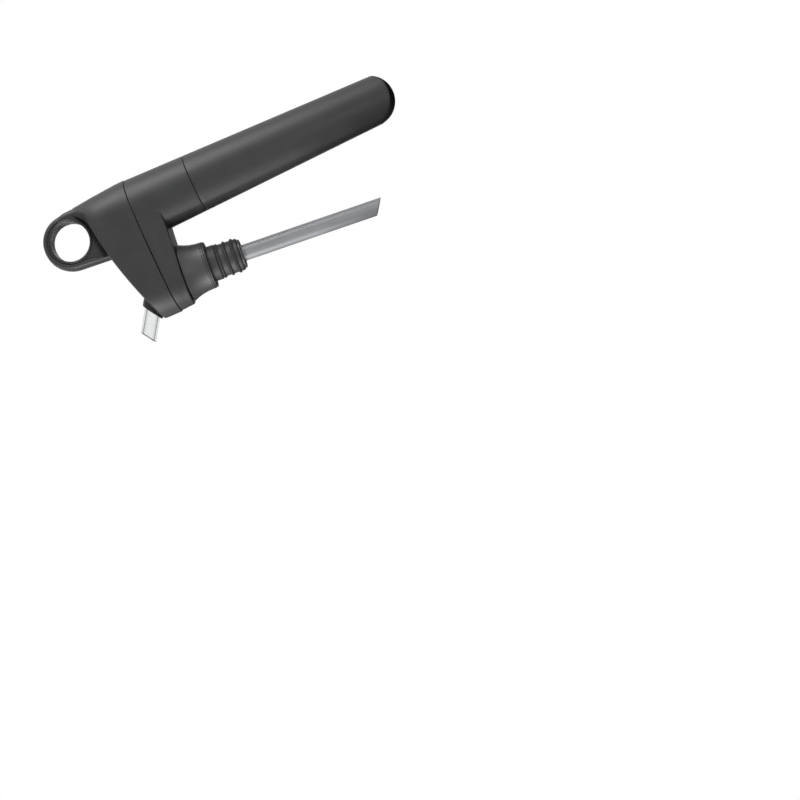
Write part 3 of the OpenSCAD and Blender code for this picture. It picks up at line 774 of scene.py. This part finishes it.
def cupMesh():                    # the handle's section carried from the tip up to the seam
    rows = walledForm(handleOutline, tipSurface, level(cup["mouth"]), cup["tipRound"], cup["mouthRound"],
                      start=(-107, 0), wallRows=40, capCount=26)
    return meshFromGrid("cup", placed(rows, shape["coneAt"], handleUp), False, True)


def cupBore():                    # the capsule's chamber as a turned solid, to be cut out
    above = 3
    points = lathe([(0, above), (cup["bore"][0][0], above)] + cup["bore"])
    points[..., 0] += shape["boreShift"]
    return meshFromGrid("cupBore", placed(points, shape["coneAt"], handleUp), True, False)


cupShell = booleanMesh("capsuleCup", cupMesh(), [("DIFFERENCE", cupBore())])
addPiece("capsuleCup", cupShell, "cup", "charcoal_shell", "capsule_cup", 10)
print("cup done,", len(cupShell.polygons), "faces")

stopper = {
    "waist": 12.7,
    "top": 15.5,
    "height": 13.8,
    "cavity": 10.0,
    "cavityFloor": 6.0,
    "core": 6.5,
    "bore": 5.0,
    "washer": 1.0,                # thickness of the rubber washer on the seat
    "land": 9.4,                  # plain length of the rubber under the washer, and the fins' crests
    "valley": 8.6,
    "depth": 18.0,
    "flange": 1.2,                # thickness of the core's end, which holds the rubber, and how far it
    "flangeOver": 0.9,            # stands out
    "groove": 0.22,               # depth of the groove over the foot
    "rimRound": 0.4,
    "finPitch": 4.2,
    "round": 0.3,
}


def flare(z):                     # waisted side: an arc from the waist to the top edge
    h, w = stopper["height"] - 2, stopper["top"] - stopper["waist"]
    r = (h * h + w * w) / (2 * w)
    return stopper["waist"] + r - np.sqrt(r * r - z * z)


def stopperProfile():
    # From the lower end of the bore round the core's flange, up the core, out over the washer, up the
    # waisted side above a narrow groove, and down through the cavity.
    s, r = stopper, stopper["round"]
    foot, flange, seat, waist = -s["depth"], s["core"] + s["flangeOver"], s["washer"], s["waist"]
    groove, rim = waist - s["groove"], s["rimRound"]
    path = [(s["bore"], foot), (s["core"] + 1.0, foot)]
    path += arcProfile(flange, foot + r, r, -90, 0)
    path += arcProfile(flange, foot + s["flange"] - r, r, 0, 90)
    path += [(s["core"], foot + s["flange"]), (s["core"], seat), (waist - 0.3, seat)]
    path += arcProfile(waist - 0.25, seat + 0.25, 0.25, -90, 0)
    path += [(waist, seat + 0.75), (groove, seat + 0.85), (groove, seat + 1)]
    z = np.linspace(0.12, s["height"] - 2.4, 16)
    path += list(zip(flare(z), z + 2))
    path += arcProfile(s["top"] - rim, s["height"] - rim, rim, 5, 90)
    path += arcProfile(s["cavity"] + r, s["height"] - r, r, 90, 180)
    path += [(s["cavity"], s["cavityFloor"]), (s["bore"], s["cavityFloor"])]
    return path


def plugProfile():
    # Rubber sleeve: a core with three rounded fins that slope up and out, below a plain land.
    s = stopper
    foot, seat, valley, land = -s["depth"] + s["flange"], s["washer"], s["valley"], s["land"]
    path = [(s["core"], seat), (s["core"], foot)]
    path += arcProfile(valley - 0.6, foot + 0.6, 0.6, -90, 0)
    for i in range(3):
        z = foot + s["finPitch"] * i
        path += [(valley, z + 1.9), (land - 0.12, z + 2.65)]
        path += arcProfile(land - 0.28, z + 3.02, 0.28, -40, 60)
        path += [(valley + 0.1, z + 3.85), (valley, z + 4.0)]
    path += [(valley, -4.7)]
    path += arcProfile(land - 0.3, -4.1, 0.3, -50, 0, 4)
    path += [(land, -0.1), (land - 0.1, 0), (land - 0.4, 0), (land - 0.4, seat)]
    return path


def washerProfile():              # flat ring with rounded outer edges
    r, inner, top = stopper["waist"] - 0.3, stopper["land"] + 0.4, stopper["washer"]
    return [(inner, 0), *arcProfile(r - 0.2, 0.2, 0.2, -90, 0),
            *arcProfile(r - 0.2, top - 0.2, 0.2, 0, 90), (inner, top)]


for name, profile, slotName, node, material in (
        ("stopperBody", stopperProfile(), "charcoal_shell", "stopper_body", stopperLitPlastic),
        ("stopperPlug", plugProfile(), "black_rubber", "stopper_plug", None),
        ("seatWasher", washerProfile(), "black_rubber", "seat_washer", None)):
    addPiece(name, meshFromGrid(name, lathe(profile), True, True), "stopper", slotName, node, 35, material)
print("stopper done")


def alongSpout(point):            # a side-view point as (distance along the spout, distance across)
    dx, dz = point[0], point[1] - shape["spoutRoot"]
    return dx * spoutOut[0] + dz * spoutOut[1], dx * spoutOut[1] - dz * spoutOut[0]


def slantedEnd(low, high):
    # How far along the spout a slanted plane lies, for a point at distance r on every ray round it. The
    # plane is given by two side-view points.
    (lowAlong, lowAcross), (highAlong, highAcross) = alongSpout(low), alongSpout(high)
    slope = (highAlong - lowAlong) / (highAcross - lowAcross)
    a = around(turnedCount)
    return lambda r: lowAlong + slope * (r * np.cos(a) - lowAcross)


def spoutGrid(name, points):      # closed mesh round the spout's axis from (radius, distance along)
    a = around(turnedCount)
    grid = np.stack([np.stack([r * np.cos(a), r * np.sin(a), z], -1) for r, z in points], 1)
    return meshFromGrid(name, placed(grid, (0, shape["spoutRoot"]), spoutOut), True, True)


def wallPoints(r, start, end, shares):    # along a wall of radius r, from start to its slanted end
    return [(r, start + (end - start) * t) for t in shares]


def edgePoints(centre, across, along, endAt, degrees):
    # An arc round the radius centre that touches the slanted plane: across and along are its half axes.
    points = []
    for t in np.radians(degrees):
        r = centre + across * math.cos(t)
        points.append((r, endAt(r) - along + along * math.sin(t)))
    return points


def spoutMesh():
    # A tube whose end is a slanted plane: each line along it ends where it meets that plane, and the lip
    # between the two walls is a half circle.
    inner, outer, start, rim = spout["inner"], spout["outer"], spout["start"], spout["rim"]
    endAt = slantedEnd(spout["cutLow"], spout["cutHigh"])
    points = wallPoints(inner, start, endAt(inner) - rim, np.linspace(0, 1, 12))
    points += edgePoints((outer + inner) / 2, (outer - inner) / 2, rim, endAt, np.linspace(180, 0, 9))
    points += wallPoints(outer, start, endAt(outer) - rim, np.linspace(1, 0, 12))
    return spoutGrid("pourSpout", points)


addPiece("pourSpout", spoutMesh(), "head", "clear_plastic", "pour_spout", 40)

collar = {
    "across": 5.7,                # half sizes in the centre plane and sideways
    "sideways": 6.9,
    "start": 9.5,                 # distance along the axis from the spout's root
    "gap": 0.05,                  # between its bore and the spout
    "round": 0.5,
    "boreRound": 0.3,
    "face": ((-16.71, 35.26), (-9.13, 41.04)),    # two points of the slanted face, side view
}


def collarMesh():
    # An oval boss round the spout: its outline is an ellipse, its face a slanted plane, and the edges
    # between them are quarter circles.
    start, outerRound, innerRound = collar["start"], collar["round"], collar["boreRound"]
    faceAt = slantedEnd(*collar["face"])
    a = around(turnedCount)
    outer = 1 / np.hypot(np.cos(a) / collar["across"], np.sin(a) / collar["sideways"])
    inner = np.full_like(a, spout["outer"] + collar["gap"])
    points = wallPoints(outer, start, faceAt(outer) - outerRound, np.linspace(0, 1, 8))
    points += edgePoints(outer - outerRound, outerRound, outerRound, faceAt, np.linspace(15, 90, 6))
    points += edgePoints(inner + innerRound, innerRound, innerRound, faceAt, np.linspace(90, 180, 4))
    points += wallPoints(inner, start, faceAt(inner) - innerRound, np.linspace(1, 0, 6)[1:])
    return spoutGrid("spoutCollar", points)


addPiece("spoutCollar", collarMesh(), "head", "dark_plastic", "spout_collar", 40)


def buttonMesh():
    # Long-hole outline carried in from a rounded rim to a dished face, all bent with the cover.
    outline = longHole(button["straight"], button["radius"])
    rim, radius, top = button["rim"], button["radius"], -button["sink"]
    rows = [(0, button["foot"]), (1, button["foot"]), (1, button["skirt"])]
    for t in np.radians(np.linspace(0, 90, 6)):
        rows.append((1 - (rim - rim * math.cos(t)) / radius, top - rim + rim * math.sin(t)))
    for t in np.linspace(0.12, 1, 10):
        rows.append(((1 - rim / radius) * (1 - t), top - button["dish"] * (1 - (1 - t) ** 2)))
    points = scaledRows(outline, rows)
    points[..., 2] -= button["bend"] - np.sqrt(button["bend"] ** 2 - points[..., 1] ** 2)
    return meshFromGrid("gasButton", placed(points, button["at"], buttonOut), False, True)


addPiece("gasButton", buttonMesh(), "button", "button_plastic", "gas_button", 35)
print("spout, collar and button done")

boreFoot = (shape["coneAt"][0] + shape["boreShift"] * math.cos(lean),
            shape["coneAt"][1] + shape["boreShift"] * math.sin(lean))
# Each spring stands on its own axis, from foot upwards. closes is how far it closes at the end of the
# joint's travel, and held the place along it that stays where it is.
springs = {
    "buttonSpring": {
        "node": "button_spring", "joint": "button_press",
        "origin": button["at"], "axis": buttonOut,
        "radius": 3.2, "length": 4.25, "turns": 3, "wire": 0.3,
        "foot": -9.95, "closes": 2.0, "held": 0,
    },
    "regulatorSpring": {
        "node": "regulator_spring", "joint": "piston_slide",
        "origin": boreFoot, "axis": handleUp,
        "radius": 4.3, "length": 6.6, "turns": 4, "wire": 0.45,
        "foot": 25.45, "closes": 0.8, "held": 6.6,
    },
}


def coilMesh(name, coil):
    # A round wire carried along a helix; every ring of it stands in the plane through the coil's axis,
    # and both ends close to a point.
    t = np.linspace(0, 1, coil["turns"] * 40 + 1)
    thick = np.full((len(t) + 2, 1), coil["wire"])
    thick[[0, -1]] = 0
    t = np.concatenate([t[:1], t, t[-1:]])[:, None]
    turned = 2 * np.pi * coil["turns"] * t
    b = around(12)
    out = coil["radius"] + thick * np.cos(b)
    height = coil["foot"] + coil["wire"] + (coil["length"] - 2 * coil["wire"]) * t + thick * np.sin(b)
    grid = np.stack([out * np.cos(turned), out * np.sin(turned), height], -1)
    return meshFromGrid(name, placed(grid, coil["origin"], coil["axis"]), False, True)


for name, coil in springs.items():
    spring = addPiece(name, coilMesh(name, coil), "head", "steel_fastener", coil["node"], 60)
    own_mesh(spring)
print("springs done")

# Metres and degrees from here on.
stage = {
    "floorZ": -0.40,
    "floorHalf": 6,
    "worldLevel": 0.125,
    "cardX": -0.12,               # dark cards beside the handle, each from y to y and up to z
    "uprightCards": [(-0.10, 0.02, -0.05), (0.02, 0.15, 0.012), (0.15, 0.9, 0.25)],
    "cardZ": -0.16,               # dark card under the handle, from x to x and from y to y
    "lowCard": (-0.05, 0.2, -0.1, 0.7),
    "cameraSide": -5.35,          # azimuth of the camera itself
    "middle": (0.02, 0, 0),       # what lamps look at
    "handleEnd": (0.055, 0, -0.1),
}
lamps = {                         # azimuth from the camera's, elevation, distance, size, power and target
    "noseLamp": (-72, 14, 0.75, (0.42, 0.4), 8.2, "middle"),
    "noseBackLamp": (-168, 5, 0.9, (0.2, 0.5), 0.5, "middle"),
    "handleLamp": (72, 14, 0.75, (0.42, 0.4), 7.4, "middle"),
    "handleBackLamp": (168, 5, 0.9, (0.2, 0.5), 0.5, "middle"),
    "frontLamp": (0, -10, 0.28, (0.12, 0.12), 0.2, "handleEnd"),
}
camera = {
    "position": (-0.1131, -0.9926, -0.0954),
    "right": (-0.32242, 0.02732, -0.9462),    # picture's right, down and depth as directions in space
    "down": (-0.9465, 0.00485, 0.32266),
    "ahead": (0.0134, 0.99962, 0.02429),
    "focal": 1891.8,              # in pixels of a frame of this many pixels
    "frame": 800,
}


def seenInstead(tree, rays, lit, seen, output):
    # The seen shader for camera rays and the named others, the lit one for the diffuse light that falls
    # on the object.
    path = addNode(tree, "LightPath", {})
    total = path.outputs["Is Camera Ray"]
    for name in rays:
        total = addNode(tree, "Math", {0: total, 1: path.outputs[name]}, operation="MAXIMUM")
    mix = addNode(tree, "MixShader", {"Fac": total, 1: lit, 2: seen})
    connect(tree, tree.nodes[output], {"Surface": mix})


world = bpy.data.worlds.new("studio")
bpy.context.scene.world = world
world.use_nodes = True
worldTree = world.node_tree
fill = worldTree.nodes["Background"]
connect(worldTree, fill, {"Color": (0.95, 0.97, 1), "Strength": stage["worldLevel"]})
paper = addNode(worldTree, "Background", {"Color": (1, 1, 1)})
seenInstead(worldTree, ("Is Glossy Ray", "Is Transmission Ray"), fill, paper, "World Output")

# The floor gives back light, and is plain white where it is looked at.
floorMaterial, floorTree, floorShader = newMaterial("paleFloor")
connect(floorTree, floorShader, {"Base Color": (0.8, 0.8, 0.8), "Roughness": 0.8})
floorWhite = addNode(floorTree, "Emission", {})
seenInstead(floorTree, ("Is Glossy Ray", "Is Transmission Ray"), floorShader, floorWhite,
            "Material Output")
floorMesh = bpy.data.meshes.new("floor")
floorZ, half = stage["floorZ"], stage["floorHalf"]
floorMesh.from_pydata([(-half, -half, floorZ), (half, -half, floorZ), (half, half, floorZ),
                       (-half, half, floorZ)], [], [(0, 1, 2, 3)])
addObject("floor", floorMesh, floorMaterial)

# Dark cards that only light and reflections meet: they keep the handle's inner side and its tip dim.
flagMaterial, flagTree, flagShader = newMaterial("blackFlag")
connect(flagTree, flagShader, {"Base Color": (0.002, 0.002, 0.002), "Specular IOR Level": 0})
flagClear = addNode(flagTree, "BsdfTransparent", {})
seenInstead(flagTree, ("Is Transmission Ray",), flagShader, flagClear, "Material Output")
cardX, cardZ = stage["cardX"], stage["cardZ"]
x0, x1, y0, y1 = stage["lowCard"]
corners = [(x0, y0, cardZ), (x1, y0, cardZ), (x1, y1, cardZ), (x0, y1, cardZ)]
for near, away, top in stage["uprightCards"]:
    corners += [(cardX, near, floorZ), (cardX, away, floorZ), (cardX, away, top), (cardX, near, top)]
flagMesh = bpy.data.meshes.new("flag")
flagMesh.from_pydata(corners, [], [(i, i + 1, i + 2, i + 3) for i in range(0, len(corners), 4)])
addObject("flag", flagMesh, flagMaterial)

for name, (azimuth, elevation, distance, size, power, target) in lamps.items():
    # Soft boxes that stand round the object and look at it, and aren't seen through the clear spout.
    a, e = math.radians(azimuth + stage["cameraSide"]), math.radians(elevation)
    lamp = bpy.data.lights.new(name, "AREA")
    lamp.shape, lamp.size, lamp.size_y, lamp.energy = "RECTANGLE", size[0], size[1], power
    way = Vector((math.sin(a) * math.cos(e), -math.cos(a) * math.cos(e), math.sin(e)))
    obj = addObject(name, lamp)
    obj.location = Vector(stage[target]) + way * distance
    obj.rotation_mode = "QUATERNION"
    obj.rotation_quaternion = way.to_track_quat("Z", "Y")
    obj.visible_camera = obj.visible_transmission = False

camData = bpy.data.cameras.new("camera")
camData.sensor_width = 36
camData.lens = camera["focal"] / camera["frame"] * camData.sensor_width
camObj = addObject("camera", camData)
turned = Matrix([[camera["right"][i], -camera["down"][i], -camera["ahead"][i]] for i in range(3)])
camObj.matrix_world = Matrix.Translation(camera["position"]) @ turned.to_4x4()
bpy.context.scene.camera = camObj
bpy.context.scene.view_settings.view_transform = "Standard"
print("stage, lamps and camera ready")
